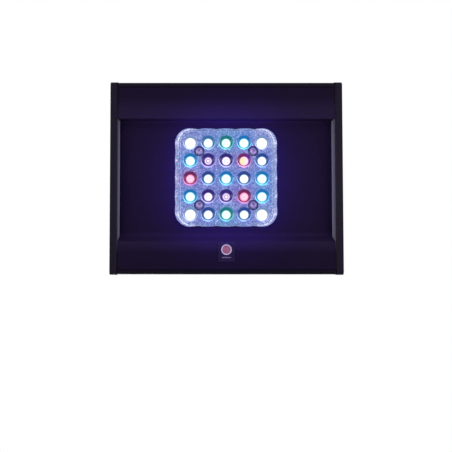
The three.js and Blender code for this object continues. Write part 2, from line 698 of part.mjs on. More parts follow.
addMesh(model, "lens_array", lensArray(), clearLens);
addMesh(model, "lens_gasket", lensGasket(), rubber);
addMesh(model, "led_board", windowSheet(boardBottom, boardBottom + LED_BOARD), boardWhite);
addMesh(model, "thermal_pad", windowSheet(padBottom, padBottom + PAD), padGrey);
const led = geometryOf(emitter());
for (const { row, column, x, y } of ledPlaces()) {
  const colour = glow[LED_COLOURS[row - 1][column - 1]];
  addMesh(model, `led_${row}_${column}`, led, colour, [x, y, boardBottom - TIGHT_GAP]);
}

addMesh(model, "heat_sink", heatSink(), rawAluminium);
addMesh(model, "fan_frame", fanFrame(), blackPlastic);
addMesh(model, "fan_stator", fanStator(), copper);
addMesh(model, "fan_rotor", fanRotor(), blackPlastic);

addMesh(model, "driver_board", driverBoard(), boardGreen, [driverX, 0, 0]);
addMesh(model, "dc_inlet", dcInlet(), blackPlastic, [0, INLET.y, inletZ]);
addMesh(model, "inlet_lead", inletLead(), rubber);
addMesh(model, "fan_lead", fanLead(), rubber);

addMesh(model, "badge_plate", badgePlate(), blackPlastic);
addMesh(model, "badge_disc", badgeDisc(), badgeRose, [0, badgeEnd - DISC.inset, 0]);

addScrews();

export default model;
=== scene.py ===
"""Looks for an LED aquarium light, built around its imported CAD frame.

The light shines down, so the camera looks up at its underside. Pieces are drawn in millimetres and
placed in metres, in the frame of the CAD model: +X towards the end cap with the inlet, +Y from the
badge to the rear, +Z up.
"""
import math

import bmesh
import bpy
from mathutils import Matrix, Vector


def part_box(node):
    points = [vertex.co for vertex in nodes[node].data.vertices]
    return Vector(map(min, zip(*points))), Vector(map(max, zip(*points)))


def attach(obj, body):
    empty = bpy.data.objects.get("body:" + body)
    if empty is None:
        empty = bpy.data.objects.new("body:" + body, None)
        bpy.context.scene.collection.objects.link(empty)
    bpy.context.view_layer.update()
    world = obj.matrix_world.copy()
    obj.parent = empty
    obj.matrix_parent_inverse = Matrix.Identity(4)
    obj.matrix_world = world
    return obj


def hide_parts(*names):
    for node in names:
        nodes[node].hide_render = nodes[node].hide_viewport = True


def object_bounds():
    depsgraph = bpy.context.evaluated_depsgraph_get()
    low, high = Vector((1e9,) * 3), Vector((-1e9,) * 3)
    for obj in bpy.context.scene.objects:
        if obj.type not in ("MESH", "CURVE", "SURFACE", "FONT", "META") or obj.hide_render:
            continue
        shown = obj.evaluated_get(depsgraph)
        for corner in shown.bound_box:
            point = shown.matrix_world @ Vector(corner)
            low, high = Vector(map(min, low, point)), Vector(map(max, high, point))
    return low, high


MM = 0.001

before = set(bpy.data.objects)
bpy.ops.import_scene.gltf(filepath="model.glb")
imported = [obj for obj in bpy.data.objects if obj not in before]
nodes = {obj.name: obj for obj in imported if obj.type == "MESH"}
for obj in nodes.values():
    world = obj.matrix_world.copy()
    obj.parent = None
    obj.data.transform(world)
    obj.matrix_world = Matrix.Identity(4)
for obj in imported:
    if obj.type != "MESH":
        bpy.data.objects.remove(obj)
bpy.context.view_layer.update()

# ---- Camera and studio ----
CAMERA_DISTANCE = 300 * MM  # below the end caps' lower faces
CAMERA_OFFSET = (19 * MM, -18 * MM)
CAMERA_TILT = math.radians(1.4)
CAMERA_LENS = 27.89
CAMERA_SHIFT = (0.048, -0.079)
FLOOR_GAP = 0.4 * MM
SPILL_SPREAD = math.radians(92)  # of the emitters' light that falls back on the recess
SPILL_SIZE = 70 * MM  # and how far below the origin it starts
SPILL_WATTS = 0.112

# ---- The light, in millimetres ----
LED_COUNT = 5
LED_LOOKS = [  # rows from the rear, columns from +X
    ["white", "pale", "green", "blue", "white"],
    ["blue", "lilac", "violet", "amber", "royal"],
    ["red", "royal", "blue", "royal", "blue"],
    ["blue", "violet", "lilac", "red", "blue"],
    ["white", "royal", "green", "royal", "white"],
]
EMITTER_OF = {"pale": "blue", "lilac": "violet"}  # where a look isn't named after its emitter
DISH_RADIUS = 6.2
DISH_LIP = 0.15
DISH_DEPTH = 2.3
CORE_RADIUS = 4.1
CORE_DROP = 0.75  # how far the bright core sits towards -Y of its dish
CAVITY_RADIUS = 3.3
WELL_RADIUS = 4.6  # round each lens screw's head
WELL_DEPTH = 3.0
WELL_GROOVE = 0.6  # width and depth of the dark groove round each well's floor
SHANK_HOLE = 1.8
LENS_CORNER = 13.0
RECESS_FLOOR = 9.2  # height of the sunk middle panel
PAINTED_WALL_REACH = 64.0  # of the painted light on the end caps' inner faces, to either side of the middle
CAP_RIB_REACH = 3.0  # of each end cap's hidden locating rib, past its inner face
BLOCK_SHIFT = 0.8  # of the lens block's outline towards the rear, from the middle of its emitters
BADGE_EDGE = 0.35  # how far the badge's ring stays inside its CAD disc
SPIGOT_INSET = 3.4  # of the block's back, which fits the opening in the panel
SCALLOP_LONG = 0.8  # depth of the scallops on the block's front and rear sides
SCALLOP_SHORT = 0.35  # and on the sides that face the end caps
HUB_RADIUS = 17.0  # of the fan
BLADES = 7


# ---- Node helpers ----
def new_material(name):
    material = bpy.data.materials.new(name)
    material.use_nodes = True
    tree = material.node_tree
    return material, tree, tree.nodes["Principled BSDF"]


def set_inputs(node, values):
    for name, value in values.items():
        node.inputs[name].default_value = value


def ramp(tree, source, stops, interpolation="EASE"):
    """A colour ramp over source. Each stop is (position, (r, g, b))."""
    node = tree.nodes.new("ShaderNodeValToRGB")
    node.color_ramp.interpolation = interpolation
    elements = node.color_ramp.elements
    while len(elements) < len(stops):
        elements.new(1.0)
    for element, (position, colour) in zip(elements, stops):
        element.position = position
        element.color = (*colour, 1.0)
    tree.links.new(source, node.inputs["Fac"])
    return node.outputs["Color"]


def object_coordinates(tree, scale=(1, 1, 1), shift=(0, 0, 0)):
    coordinates = tree.nodes.new("ShaderNodeTexCoord")
    mapping = tree.nodes.new("ShaderNodeMapping")
    set_inputs(mapping, {"Scale": scale, "Location": shift})
    tree.links.new(coordinates.outputs["Object"], mapping.inputs["Vector"])
    return mapping.outputs["Vector"]


def noise(tree, scale, stretch=(1, 1, 1), detail=3.0):
    """Noise over the object's own coordinates, in grains per metre."""
    texture = tree.nodes.new("ShaderNodeTexNoise")
    set_inputs(texture, {"Scale": scale, "Detail": detail})
    tree.links.new(object_coordinates(tree, stretch), texture.inputs["Vector"])
    return texture.outputs["Fac"]


def spread(tree, source, low, high):
    """Maps 0.3 to 0.7, where noise mostly lies, onto low to high."""
    node = tree.nodes.new("ShaderNodeMapRange")
    set_inputs(node, {"From Min": 0.3, "From Max": 0.7, "To Min": low, "To Max": high})
    tree.links.new(source, node.inputs["Value"])
    return node.outputs["Result"]


def one_coordinate(tree, axis, kind="Object"):
    coordinates = tree.nodes.new("ShaderNodeTexCoord")
    split = tree.nodes.new("ShaderNodeSeparateXYZ")
    tree.links.new(coordinates.outputs[kind], split.inputs["Vector"])
    return split.outputs[axis]


def along(tree, axis, low, high):
    """0 to 1 as the object's own coordinate goes from low to high, in millimetres."""
    share = tree.nodes.new("ShaderNodeMapRange")
    set_inputs(share, {"From Min": low * MM, "From Max": high * MM})
    tree.links.new(one_coordinate(tree, axis), share.inputs["Value"])
    return share.outputs["Result"]


def product(tree, first, second):
    node = tree.nodes.new("ShaderNodeMath")
    node.operation = "MULTIPLY"
    tree.links.new(first, node.inputs[0])
    tree.links.new(second, node.inputs[1])
    return node.outputs["Value"]


def mask_between(tree, axis, low, high):
    """1 where the object's own coordinate, whatever its sign, is from low to high millimetres."""
    size = tree.nodes.new("ShaderNodeMath")
    size.operation = "ABSOLUTE"
    tree.links.new(one_coordinate(tree, axis), size.inputs[0])
    inside = tree.nodes.new("ShaderNodeMath")
    inside.operation = "COMPARE"
    tree.links.new(size.outputs["Value"], inside.inputs[0])
    inside.inputs[1].default_value = (low + high) / 2 * MM
    inside.inputs[2].default_value = (high - low) / 2 * MM
    return inside.outputs["Value"]


def bump(tree, shader, source, strength, distance):
    node = tree.nodes.new("ShaderNodeBump")
    set_inputs(node, {"Strength": strength, "Distance": distance})
    tree.links.new(source, node.inputs["Height"])
    tree.links.new(node.outputs["Normal"], shader.inputs["Normal"])


def mix_colours(tree, factor, first, second, blend="MIX"):
    """Blends a colour socket with a second one or a plain colour. The factor may be a number."""
    node = tree.nodes.new("ShaderNodeMix")
    node.data_type = "RGBA"
    node.blend_type = blend
    colours = [socket for socket in node.inputs if socket.type == "RGBA"]
    tree.links.new(first, colours[0])
    if isinstance(second, tuple):
        colours[1].default_value = (*second, 1.0)
    else:
        tree.links.new(second, colours[1])
    if isinstance(factor, float):
        node.inputs["Factor"].default_value = factor
    else:
        tree.links.new(factor, node.inputs["Factor"])
    return next(socket for socket in node.outputs if socket.type == "RGBA")


def base_colour(shader):
    """The socket that the base colour comes from."""
    return shader.inputs["Base Color"].links[0].from_socket


# ---- Materials ----
GRAIN_DEPTH = 0.02 * MM


def shades(colour, amount):
    darker = tuple(c * (1 - amount) for c in colour)
    lighter = tuple(min(1.0, c * (1 + amount)) for c in colour)
    return [(0.3, darker), (0.7, lighter)]


def anodised(name, colour, rough, gloss):
    """Black anodised extrusion: a fine satin grain with faint streaks along X."""
    material, tree, shader = new_material(name)
    streaks = noise(tree, 90, (1, 25, 25), detail=5.0)
    tree.links.new(ramp(tree, streaks, shades(colour, 0.12)), shader.inputs["Base Color"])
    tree.links.new(spread(tree, streaks, rough - 0.05, rough + 0.07), shader.inputs["Roughness"])
    shader.inputs["Specular IOR Level"].default_value = gloss
    bump(tree, shader, noise(tree, 9000), 0.25, GRAIN_DEPTH)
    return material


def panel_with_painted_light(name, colour, rough, gloss, bands):
    """Anodised like the other extrusions, with painted light and painted shade in bands across it.

    Each band is (Y in millimetres, how many times the plain colour).
    """
    material = anodised(name, colour, rough, gloss)
    tree = material.node_tree
    shader = tree.nodes["Principled BSDF"]
    reach = bands[-1][0]
    strongest = max(strength for _, strength in bands)
    stops = [((y / reach + 1) / 2, (strength / strongest,) * 3) for y, strength in bands]
    shade = ramp(tree, along(tree, "Y", -reach, reach), stops, "LINEAR")
    banded = mix_colours(tree, 1.0, base_colour(shader), shade, "MULTIPLY")
    tree.links.new(banded, shader.inputs["Base Color"])
    return material


def cap_with_painted_light(name, colour, painted_wall_light):
    """Anodised like the extrusions, with painted light on the inner face in the recess, paler as
    it goes in.
    """
    material = anodised(name, colour, 0.45, 0.15)
    tree = material.node_tree
    shader = tree.nodes["Principled BSDF"]
    # Painted light: a pale streaked strip on the cap's inner face where the emitters' light falls,
    # paler deeper in.
    pale = ramp(tree, noise(tree, 400, (1, 1, 20)), shades(painted_wall_light, 0.15))
    painted_depth_ramp = [(0.2, (0.45, 0.45, 0.45)), (0.9, (1, 1, 1))]
    deeper = ramp(tree, along(tree, "Z", 0, RECESS_FLOOR), painted_depth_ramp)
    pale = mix_colours(tree, 1.0, pale, deeper, "MULTIPLY")
    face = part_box("end_cap_right")[0].x / MM + CAP_RIB_REACH
    inner = mask_between(tree, "X", face - 0.1, face + 0.1)
    low = mask_between(tree, "Z", 0, RECESS_FLOOR + 0.4)
    middle = mask_between(tree, "Y", 0, PAINTED_WALL_REACH)
    in_recess = product(tree, product(tree, inner, low), middle)
    parted = mix_colours(tree, in_recess, base_colour(shader), pale)
    tree.links.new(parted, shader.inputs["Base Color"])
    return material


def grained(name, colour, rough, metallic=0.0, grain=3000):
    """A moulded, cast or cut surface with a fine grain."""
    material, tree, shader = new_material(name)
    texture = noise(tree, grain)
    tree.links.new(ramp(tree, texture, shades(colour, 0.15)), shader.inputs["Base Color"])
    tree.links.new(spread(tree, texture, rough - 0.04, rough + 0.06), shader.inputs["Roughness"])
    shader.inputs["Metallic"].default_value = metallic
    bump(tree, shader, texture, 0.3, GRAIN_DEPTH)
    return material


def brushed(name, colour, rough, stretch=(1, 60, 60)):
    """Bare metal with long fine scratches."""
    material, tree, shader = new_material(name)
    texture = noise(tree, 120, stretch, detail=5.0)
    tree.links.new(ramp(tree, texture, shades(colour, 0.12)), shader.inputs["Base Color"])
    tree.links.new(spread(tree, texture, rough - 0.08, rough + 0.12), shader.inputs["Roughness"])
    shader.inputs["Metallic"].default_value = 1.0
    bump(tree, shader, texture, 0.15, GRAIN_DEPTH)
    return material


def circuit_board(name, colour, line):
    """Solder mask over a fine maze of tracks."""
    material, tree, shader = new_material(name)
    cells = tree.nodes.new("ShaderNodeTexVoronoi")
    cells.distance = "MANHATTAN"
    cells.feature = "DISTANCE_TO_EDGE"
    cells.inputs["Scale"].default_value = 320
    tree.links.new(object_coordinates(tree), cells.inputs["Vector"])
    tracks = ramp(tree, cells.outputs["Distance"], [(0.03, line), (0.08, colour)])
    tree.links.new(tracks, shader.inputs["Base Color"])
    tree.links.new(spread(tree, noise(tree, 900), 0.3, 0.45), shader.inputs["Roughness"])
    return material


def lens_glow(name):
    """Clear moulding full of scattered light, tinted by the emitters nearby and mottled."""
    material, tree, shader = new_material(name)
    glow = tree.nodes.new("ShaderNodeVertexColor")
    glow.layer_name = "glow"
    layers = [  # blend, grains per metre, detail, stops
        ("MULTIPLY", 260, 2.0, [(0.3, (0.72, 0.74, 0.86)), (0.7, (1, 1, 1))]),
        ("MULTIPLY", 800, 6.0, [(0.36, (0.42, 0.48, 0.70)), (0.62, (1.1, 1.1, 1.05))]),
        ("ADD", 1000, 1.0, [(0.64, (0, 0, 0)), (0.74, (0.5, 0.55, 0.6))]),
    ]
    mottled = glow.outputs["Color"]
    for blend, scale, detail, stops in layers:
        grain = ramp(tree, noise(tree, scale, detail=detail), stops)
        mottled = mix_colours(tree, 1.0, mottled, grain, blend)
    tree.links.new(mottled, shader.inputs["Emission Color"])
    tree.links.new(spread(tree, noise(tree, 700), 0.1, 0.2), shader.inputs["Roughness"])
    set_inputs(shader, {"Base Color": (0.05, 0.055, 0.09, 1), "Emission Strength": 1.0})
    set_inputs(shader, {"Coat Weight": 0.5, "IOR": 1.49})
    bump(tree, shader, noise(tree, 900), 0.3, 0.15 * MM)
    return material


def well_dark(name):
    """The shadowed wall of a screw's counterbore in the clear moulding, with a painted violet
    glow.
    """
    material, tree, shader = new_material(name)
    texture = noise(tree, 800)
    wall = ramp(tree, texture, shades((0.03, 0.025, 0.1), 0.3))
    tree.links.new(wall, shader.inputs["Base Color"])
    # Painted glow: the emitters' light on the well's wall.
    painted_glow = ramp(tree, texture, [(0.3, (0.012, 0.008, 0.05)), (0.7, (0.06, 0.045, 0.19))])
    tree.links.new(painted_glow, shader.inputs["Emission Color"])
    set_inputs(shader, {"Emission Strength": 1.0, "Roughness": 0.2})
    return material


# Of each emitter seen through its lens: the core, the core's edge, the ring, the crescent, and how
# far the core reaches, in millimetres
OPTICS = {
    "white": [(1.5, 1.5, 1.5), (1.1, 1.15, 1.2), (0.17, 0.27, 0.50), (0.42, 0.50, 0.78), 4.5],
    "pale": [(1.3, 1.4, 1.4), (0.6, 0.9, 1.0), (0.03, 0.14, 0.33), (0.30, 0.50, 0.80), 3.9],
    "blue": [(1.1, 1.4, 1.4), (0.30, 0.85, 1.0), (0, 0.15, 0.42), (0.16, 0.62, 0.95), 4.1],
    "royal": [(1.3, 1.4, 1.4), (0.6, 0.8, 1.0), (0.012, 0.055, 0.25), (0.25, 0.42, 0.80), 3.8],
    "violet": [(1.3, 1.25, 1.4), (0.6, 0.5, 0.9), (0.018, 0.012, 0.15), (0.42, 0.42, 0.8), 3.65],
    "lilac": [(1.1, 0.9, 1.2), (0.42, 0.28, 0.66), (0.022, 0.014, 0.16), (0.42, 0.36, 0.75), 3.35],
    "green": [(1.1, 1.5, 1.4), (0.40, 0.95, 0.82), (0, 0.17, 0.19), (0.15, 0.55, 0.62), 3.85],
    "red": [(1.1, 0.6, 0.76), (0.90, 0.22, 0.42), (0.13, 0.012, 0.08), (0.60, 0.16, 0.40), 3.8],
    "amber": [(1.35, 0.9, 0.42), (0.95, 0.55, 0.6), (0.16, 0.012, 0.09), (0.7, 0.28, 0.5), 3.85],
}
# How bright the outline of the die is in the middle of the core
DIE_SHADE = {
    "violet": 0.4,
    "lilac": 0.25,
    "red": 1.4,
    "blue": 0.58,
    "green": 0.52,
    "royal": 0.6,
    "pale": 0.66,
}


def radius_from(tree, shift, size):
    """Distance from the object's own shifted Z axis, as a fraction of size."""
    flat = object_coordinates(tree, (1 / size, 1 / size, 0), shift)
    length = tree.nodes.new("ShaderNodeVectorMath")
    length.operation = "LENGTH"
    tree.links.new(flat, length.inputs[0])
    return length.outputs["Value"]


def optic_glow(look):
    """An emitter seen through its lens: a white core, a deep ring and a light crescent below."""
    core, edge, ring, crescent, reach = OPTICS[look]
    material, tree, shader = new_material(f"optic_{look}")
    size = DISH_RADIUS * MM
    drop = CORE_DROP / DISH_RADIUS
    inner = reach / DISH_RADIUS
    die = tuple(c * DIE_SHADE.get(look, 1.0) for c in core)
    stops = [
        (0.0, core),
        (0.16, core),
        (0.27, die),
        (0.36, core),
        (inner - 0.16, core),
        (inner - 0.04, edge),
        (inner + 0.06, ring),
    ]
    emitter = ramp(tree, radius_from(tree, (0, drop, 0), size), stops)
    if look == "amber":
        pinker = [(0.1, (0.85, 0.92, 2.1)), (0.8, (1, 1, 1))]
        fade = ramp(tree, along(tree, "X", -reach, reach), pinker)
        emitter = mix_colours(tree, 1.0, emitter, fade, "MULTIPLY")
    outside = radius_from(tree, (0, -drop, 0), size)
    rim = ramp(tree, outside, [(0.94, (0, 0, 0)), (1.03, (1, 1, 1))])
    bright = tuple(min(1.5, c * 1.9) for c in crescent)
    light = ramp(tree, noise(tree, 500), [(0.35, crescent), (0.65, bright)])
    tree.links.new(mix_colours(tree, rim, emitter, light), shader.inputs["Emission Color"])
    set_inputs(shader, {"Base Color": (0.02, 0.02, 0.03, 1), "Roughness": 0.1})
    shader.inputs["Emission Strength"].default_value = 1.0
    return material


def emitter_dome(name, colour):
    """The silicone dome and phosphor of an emitter, behind its lens."""
    material, tree, shader = new_material(name)
    texture = noise(tree, 2500)
    tree.links.new(ramp(tree, texture, shades(colour, 0.1)), shader.inputs["Base Color"])
    tree.links.new(ramp(tree, texture, shades(colour, 0.2)), shader.inputs["Emission Color"])
    set_inputs(shader, {"Emission Strength": 0.6, "Roughness": 0.25})
    return material


# ---- Pieces ----
def finish_mesh(mesh, smooth_angle=35):
    mesh.shade_smooth()
    mesh.set_sharp_from_angle(angle=math.radians(smooth_angle))


def soften(node, width=0.25, segments=2, angle=30):
    """Breaks the sharp edges of a CAD solid without touching its mesh."""
    weld = nodes[node].modifiers.new("weld", "WELD")
    weld.merge_threshold = 0.01 * MM
    bevel = nodes[node].modifiers.new("bevel", "BEVEL")
    bevel.width = width * MM
    bevel.segments = segments
    bevel.limit_method = "ANGLE"
    bevel.angle_limit = math.radians(angle)
    bevel.use_clamp_overlap = True


def give(node_names, material):
    for name in node_names:
        nodes[name].data.materials.clear()
        nodes[name].data.materials.append(material)


def add_piece(name, bm, materials, replaces=(), body="housing", place=None):
    """Turns a bmesh in millimetres into a piece on a body. The place is a matrix in metres."""
    bmesh.ops.recalc_face_normals(bm, faces=bm.faces)
    bmesh.ops.scale(bm, vec=(MM, MM, MM), verts=bm.verts)
    mesh = bpy.data.meshes.new(name)
    bm.to_mesh(mesh)
    bm.free()
    finish_mesh(mesh)
    for material in materials:
        mesh.materials.append(material)
    piece = bpy.data.objects.new(name, mesh)
    bpy.context.scene.collection.objects.link(piece)
    if place is not None:
        piece.matrix_world = place
    bpy.context.view_layer.update()
    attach(piece, body)
    if replaces:
        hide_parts(*replaces)
    return piece


def ring_points(radius, sides, hexagonal=False):
    """Points round the Z axis. A hexagonal ring has radius at its corners."""
    points = []
    for i in range(sides):
        angle = 2 * math.pi * i / sides
        reach = radius
        if hexagonal:
            reach *= math.cos(math.pi / 6) / math.cos(angle % (math.pi / 3) - math.pi / 6)
        points.append((reach * math.cos(angle), reach * math.sin(angle)))
    return points


def skin_loops(bm, loops, closed=True):
    """Joins rows of points, each a closed loop, with quads, and closes both ends."""
    rows = [[bm.verts.new(point) for point in loop] for loop in loops]
    for lower, upper in zip(rows, rows[1:]):
        for i in range(len(lower)):
            j = (i + 1) % len(lower)
            bm.faces.new((lower[i], lower[j], upper[j], upper[i]))
    if closed:
        bm.faces.new(list(reversed(rows[0])))
        bm.faces.new(rows[-1])
    return rows


def lathe(bm, rings, sides=48, centre=(0, 0)):
    """Adds a solid of revolution from rings: (radius, z), or (radius, z, True) for a hexagon."""
    loops = []
    for radius, z, *hexagonal in rings:
        points = ring_points(radius, sides, bool(hexagonal))
        loops.append([(x + centre[0], y + centre[1], z) for x, y in points])
    skin_loops(bm, loops)


def centre_of(node):
    low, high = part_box(node)
    return (low + high) / 2


def facing(point, direction):
    """A place whose Z axis points in the direction."""
    return Matrix.Translation(point) @ direction.to_track_quat("Z", "Y").to_matrix().to_4x4()


# ---- Lens block ----
lens_low, lens_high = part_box("lens_array")
LENS_HALF = (lens_high.y - lens_low.y) / 2 / MM
LENS_EAR = (lens_high.x - lens_low.x) / 2 / MM - LENS_HALF
LENS_FRONT = lens_low.z / MM
LENS_BACK = lens_high.z / MM
LENS_RIM_TOP = LENS_BACK - 0.7
led_places = {
    (row, column): centre_of(f"led_{row}_{column}") / MM
    for row in range(1, LED_COUNT + 1)
    for column in range(1, LED_COUNT + 1)
}
screw_places = [centre_of(f"lens_screw_{i}") / MM for i in range(1, 5)]
LED_PITCH = led_places[1, 1].x - led_places[1, 2].x


def block_loop(inset, z, scallop, ear=0.0):
    """The lens block's rounded square, moved in by inset, with a bulge beside each emitter.

    The ear is how much further it reaches towards either end cap.
    """
    half = LENS_HALF - inset
    corner = max(LENS_CORNER - inset, 0.6)
    straight = half - corner
    corner_steps, side_steps = 14, 40
    points = []
    for quarter in range(4):
        turn = Matrix.Rotation(quarter * math.pi / 2, 2)
        depth = scallop * (SCALLOP_SHORT if quarter % 2 == 0 else SCALLOP_LONG)
        quarter_points = []
        for i in range(side_steps):
            offset = straight * (2 * i / side_steps - 1)
            dip = depth * (1 - abs(math.cos(math.pi * offset / LED_PITCH))) ** 1.5
            quarter_points.append((half - dip, offset))
        for i in range(corner_steps):
            angle = (math.pi / 2) * i / corner_steps
            x = straight + corner * math.cos(angle)
            y = straight + corner * math.sin(angle)
            quarter_points.append((x, y))
        for point in quarter_points:
            x, y = turn @ Vector(point)
            reach = min(1.0, abs(x) / straight)
            points.append((x + math.copysign(ear * reach, x), y + BLOCK_SHIFT, z))
    return points


def block_body():
    """The block before its hollows are cut: spigot, rim, scalloped side, lip and flat face."""
    front = LENS_FRONT
    steps = [  # inset, z, share of the scallops, ear
        (SPIGOT_INSET, LENS_BACK, 0, 0),
        (SPIGOT_INSET, LENS_RIM_TOP, 0, 0),
        (0.3, LENS_RIM_TOP, 0.4, LENS_EAR),
        (0.05, LENS_RIM_TOP - 0.3, 0.6, LENS_EAR),
        (0.0, front + 2.8, 1, LENS_EAR),
        (0.15, front + 2.2, 1, LENS_EAR),
        (0.45, front + 1.9, 1, LENS_EAR),
        (0.6, front + 1.75, 1, 0.3),
        (0.7, front + 1.0, 1, 0),
        (0.95, front + 0.4, 1, 0),
        (1.35, front + 0.1, 1, 0),
        (1.8, front + 0.3, 0.9, 0),
        (2.1, front + 0.75, 0.7, 0),
        (2.5, front + 0.7, 0.5, 0),
        (2.9, front + 0.25, 0.3, 0),
        (3.3, front, 0.15, 0),
        (3.8, front, 0, 0),
    ]
    inset = 4.9
    while inset < LENS_HALF - 0.8:  # fine enough to hold the glow's colours
        steps.append((inset, front + 0.25, 0, 0))
        inset += 1.3
    bm = bmesh.new()
    skin_loops(bm, [block_loop(*step) for step in steps])
    bmesh.ops.triangulate(bm, faces=bm.faces)
    bmesh.ops.recalc_face_normals(bm, faces=bm.faces)
    return bm


def block_hollows():
    """Dishes and cavities for the emitters, and stepped holes for the screws."""
    bm = bmesh.new()
    face = LENS_FRONT
    for place in led_places.values():
        dish = [
            (DISH_RADIUS + DISH_LIP, face - 0.6),
            (DISH_RADIUS + DISH_LIP, face + 0.3),
            (DISH_RADIUS + 0.4 * DISH_LIP, face + 0.45),
            (DISH_RADIUS, face + 0.9),
            (DISH_RADIUS, face + DISH_DEPTH),
        ]
        lathe(bm, dish, 40, place.xy)
        cavity = [(CAVITY_RADIUS, face + DISH_DEPTH + 0.6), (CAVITY_RADIUS, LENS_BACK + 1)]
        lathe(bm, cavity, 20, place.xy)
    for place in screw_places:
        floor = face + WELL_DEPTH
        well = [
            (WELL_RADIUS, face - 0.6),
            (WELL_RADIUS, floor + WELL_GROOVE),
            (WELL_RADIUS - WELL_GROOVE, floor + WELL_GROOVE),
            (WELL_RADIUS - 1.5 * WELL_GROOVE, floor),
            (SHANK_HOLE, floor),
            (SHANK_HOLE, LENS_BACK + 1),
        ]
        lathe(bm, well, 36, place.xy)
    bmesh.ops.recalc_face_normals(bm, faces=bm.faces)
    return bm


GLOW_BASE = (0.25, 0.32, 0.61)
GLOW_TINTS = {
    "white": (0.32, 0.36, 0.62),
    "pale": (0.20, 0.34, 0.66),
    "blue": (0.12, 0.36, 0.70),
    "royal": (0.20, 0.30, 0.66),
    "violet": (0.24, 0.22, 0.56),
    "lilac": (0.28, 0.24, 0.58),
    "green": (0.10, 0.42, 0.58),
    "red": (0.42, 0.18, 0.52),
    "amber": (0.38, 0.24, 0.52),
}
BASE_WEIGHT = 0.35  # of the base colour, against 1 for an emitter's tint at its middle
TINT_REACH = 8.0  # of each emitter's tint, in millimetres
ARC_GAIN = 1.1  # of the bright arc below each dish
RIM_HIGHLIGHT = Vector((1.1, 1.15, 1.3))
SIDE_GLOW = Vector((1.4, 0.5, 12.0))  # of the block's side, which lights the recess
WELL_SHADE = 0.42
CORNER_START = 0.55  # how far out the block's corners begin and are full, of its half width
CORNER_FULL = 0.8
SIDE_BAND = 4.0  # how far in from its left and right sides the lip is whiter
EDGE_BAND = 0.8  # how far in the glints on those sides reach
# Painted highlights along the block's lip, with one darker band of painted shade.
LIP_LINES = [  # up to this inset: shade, whiteness, more at the corners, more at the sides
    (0.6, 1.0, 0.0, 0.2, 0.0),
    (2.0, 1.0, 0.05, 0.75, 0.0),
    (2.7, 0.75, 0.0, 0.0, 0.0),
    (3.6, 1.0, 0.0, 0.35, 0.12),
]


def scattered_light(x, y, z):
    """The tints of the emitters near a point, with a bright arc below each dish."""
    total = BASE_WEIGHT
    lit = 1.0
    colour = Vector(GLOW_BASE) * total
    for (row, column), place in led_places.items():
        distance = math.hypot(x - place.x, y - place.y)
        if abs(distance - DISH_RADIUS) < 0.3 and z < LENS_FRONT + 0.7:
            lit = 1 + ARC_GAIN * max(0.0, (place.y - y) / distance) ** 2
        weight = math.exp(-((distance / TINT_REACH) ** 2))
        colour += Vector(GLOW_TINTS[LED_LOOKS[row - 1][column - 1]]) * weight
        total += weight
    colour *= lit / total
    return colour


def lip_light(colour, x, y, inset):
    """The colour with the painted highlights of the block's raised lip, strongest at its corners.
    """
    outward = min(abs(x), abs(y)) / LENS_HALF
    corner = (outward - CORNER_START) / (CORNER_FULL - CORNER_START)
    corner = min(1.0, max(0.0, corner))
    side = 1.0 if abs(x) > LENS_HALF - SIDE_BAND else 0.0
    for end, shade, white, at_corners, at_sides in LIP_LINES:
        if inset <= end:
            white += at_corners * corner + at_sides * side
            colour = (colour * shade).lerp(RIM_HIGHLIGHT, white)
            break
    if abs(x) > LENS_HALF - EDGE_BAND and inset < LIP_LINES[0][0]:
        colour = (colour * 0.7).lerp(RIM_HIGHLIGHT, 0.12)
        glint = max(0.0, math.cos(2 * math.pi * y / LED_PITCH)) ** 10
        colour = colour.lerp(RIM_HIGHLIGHT, 0.6 * glint)
    return colour


def glow_at(x, y, z):
    """Colour of the scattered light in the block at a point, in millimetres."""
    inset = inset_of(x, y)
    if z > LENS_FRONT + 3.2 and inset < 0.3:
        return SIDE_GLOW
    colour = lip_light(scattered_light(x, y, z), x, y, inset)
    to_screw = min((Vector((x, y)) - place.xy).length for place in screw_places)
    if z > LENS_FRONT + 1 and to_screw < WELL_RADIUS:
        colour *= WELL_SHADE
    return colour


def inset_of(x, y):
    """How far a point lies inside the lens block's raised square, in millimetres."""
    straight = LENS_HALF - LENS_CORNER
    beyond_x = max(0.0, abs(x) - straight)
    beyond_y = max(0.0, abs(y - BLOCK_SHIFT) - straight)
    return LENS_CORNER - Vector((beyond_x, beyond_y)).length


def colour_block(mesh):
    """Stores the scattered light at each corner of the mesh, in metres."""
    layer = mesh.color_attributes.new("glow", "FLOAT_COLOR", "POINT")
    for vertex, item in zip(mesh.vertices, layer.data):
        item.color = (*glow_at(*(vertex.co / MM)), 1.0)


def is_well(centre):
    """Whether a point in millimetres is on the wall or in the groove of a screw's counterbore."""
    if centre.z < LENS_FRONT + 0.3:
        return False
    low = WELL_RADIUS - 1.6 * WELL_GROOVE
    high = WELL_RADIUS + 0.3
    return any(low < (centre.xy - place.xy).length < high for place in screw_places)


def cut(body, hollows):
    """A new mesh: the body with the hollows, a bmesh in millimetres, taken out."""
    cutter_mesh = bpy.data.meshes.new("lens_hollows")
    bmesh.ops.scale(hollows, vec=(MM, MM, MM), verts=hollows.verts)
    hollows.to_mesh(cutter_mesh)
    hollows.free()
    cutter = bpy.data.objects.new("lens_hollows", cutter_mesh)
    bpy.context.scene.collection.objects.link(cutter)
    boolean = body.modifiers.new("hollows", "BOOLEAN")
    boolean.operation = "DIFFERENCE"
    boolean.solver = "EXACT"
    boolean.object = cutter
    graph = bpy.context.evaluated_depsgraph_get()
    result = bpy.data.meshes.new_from_object(body.evaluated_get(graph))
    body.modifiers.clear()
    bpy.data.objects.remove(cutter)
    return result


